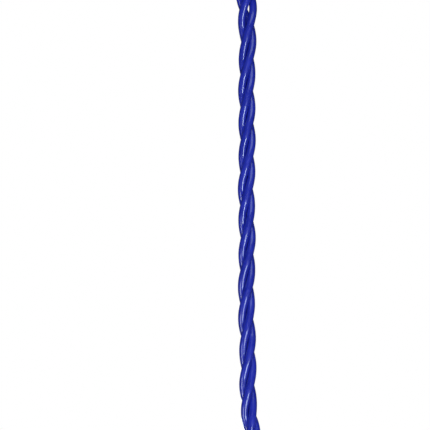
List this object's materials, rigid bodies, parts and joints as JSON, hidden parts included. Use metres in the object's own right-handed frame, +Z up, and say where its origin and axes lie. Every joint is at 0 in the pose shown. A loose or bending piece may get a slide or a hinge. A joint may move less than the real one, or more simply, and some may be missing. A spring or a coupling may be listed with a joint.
{
  "type": "barrier rope",
  "caption": "Three-strand laid barrier rope in glossy vinyl, ending in metal ferrules that swivel on spring-gated snap hooks.",
  "frame": {"origin": "point inside the upper hook's bow that bears on what the rope hangs from", "axes": "+Z up, against the hanging rope; +X across the hooks, towards the upper hook's gate; +Y along the gates' pivots"},
  "size_m": [0.0611, 0.048, 1.2416],
  "materials": {
    "blue_vinyl": "smooth glossy deep blue vinyl",
    "fibre_core": "undyed spun fibre",
    "fitting_chrome": "bright plate over a casting",
    "ferrule_chrome": "bright plate over turned metal",
    "pin_steel": "turned",
    "spring_steel": "drawn wire",
    "zinc_steel": "zinc plate",
    "nylon": "natural nylon",
    "binding_tape": "woven tape"
  },
  "bodies": {
    "top_hook": {"top_hook_body": "fitting_chrome", "top_gate_pin": "pin_steel", "top_gate_spring": "spring_steel"},
    "top_gate": {"top_gate": "fitting_chrome"},
    "top_swivel": {"top_swivel_fork": "fitting_chrome", "top_tilt_pin": "pin_steel", "top_keeper_washer": "zinc_steel", "top_lock_nut": "zinc_steel"},
    "bottom_hook": {"bottom_hook_body": "fitting_chrome", "bottom_gate_pin": "pin_steel", "bottom_gate_spring": "spring_steel"},
    "bottom_gate": {"bottom_gate": "fitting_chrome"},
    "bottom_swivel": {"bottom_swivel_fork": "fitting_chrome", "bottom_tilt_pin": "pin_steel", "bottom_keeper_washer": "zinc_steel", "bottom_lock_nut": "zinc_steel"},
    "rope": {"strand_1_sleeve": "blue_vinyl", "strand_1_core": "fibre_core", "strand_2_sleeve": "blue_vinyl", "strand_2_core": "fibre_core", "strand_3_sleeve": "blue_vinyl", "strand_3_core": "fibre_core", "top_ferrule": "ferrule_chrome", "top_ferrule_screws": "pin_steel", "top_binding": "binding_tape", "top_thrust_washer": "nylon", "bottom_ferrule": "ferrule_chrome", "bottom_ferrule_screws": "pin_steel", "bottom_binding": "binding_tape", "bottom_thrust_washer": "nylon"}
  },
  "joints": [
    {"name": "top_gate_open", "type": "hinge", "parent": "top_hook", "child": "top_gate", "pos_m": [0.0145, 0, -0.0365], "axis": [0, -1, 0], "range_deg": [0, 40], "stiffness_Nm_per_rad": 0.08, "springref_deg": -34.38, "deforming": ["top_gate_spring"]},
    {"name": "top_tilt", "type": "hinge", "parent": "top_hook", "child": "top_swivel", "pos_m": [0, 0, -0.056], "axis": [0, 1, 0], "range_deg": [-75, 75]},
    {"name": "top_turn", "type": "hinge", "parent": "top_swivel", "child": "rope", "pos_m": [0, 0, -0.069], "axis": [0, 0, 1], "continuous": true},
    {"name": "bottom_turn", "type": "hinge", "parent": "rope", "child": "bottom_swivel", "pos_m": [0.01668, 0, -1.15866], "axis": [0.1219, 0, -0.9925], "continuous": true},
    {"name": "bottom_tilt", "type": "hinge", "parent": "bottom_swivel", "child": "bottom_hook", "pos_m": [0.01827, 0, -1.17157], "axis": [0, 1, 0], "range_deg": [-82, 68]},
    {"name": "bottom_gate_open", "type": "hinge", "parent": "bottom_hook", "child": "bottom_gate", "pos_m": [0.00377, 0, -1.19107], "axis": [0, -1, 0], "range_deg": [0, 40], "stiffness_Nm_per_rad": 0.08, "springref_deg": -34.38, "deforming": ["bottom_gate_spring"]}
  ]
}
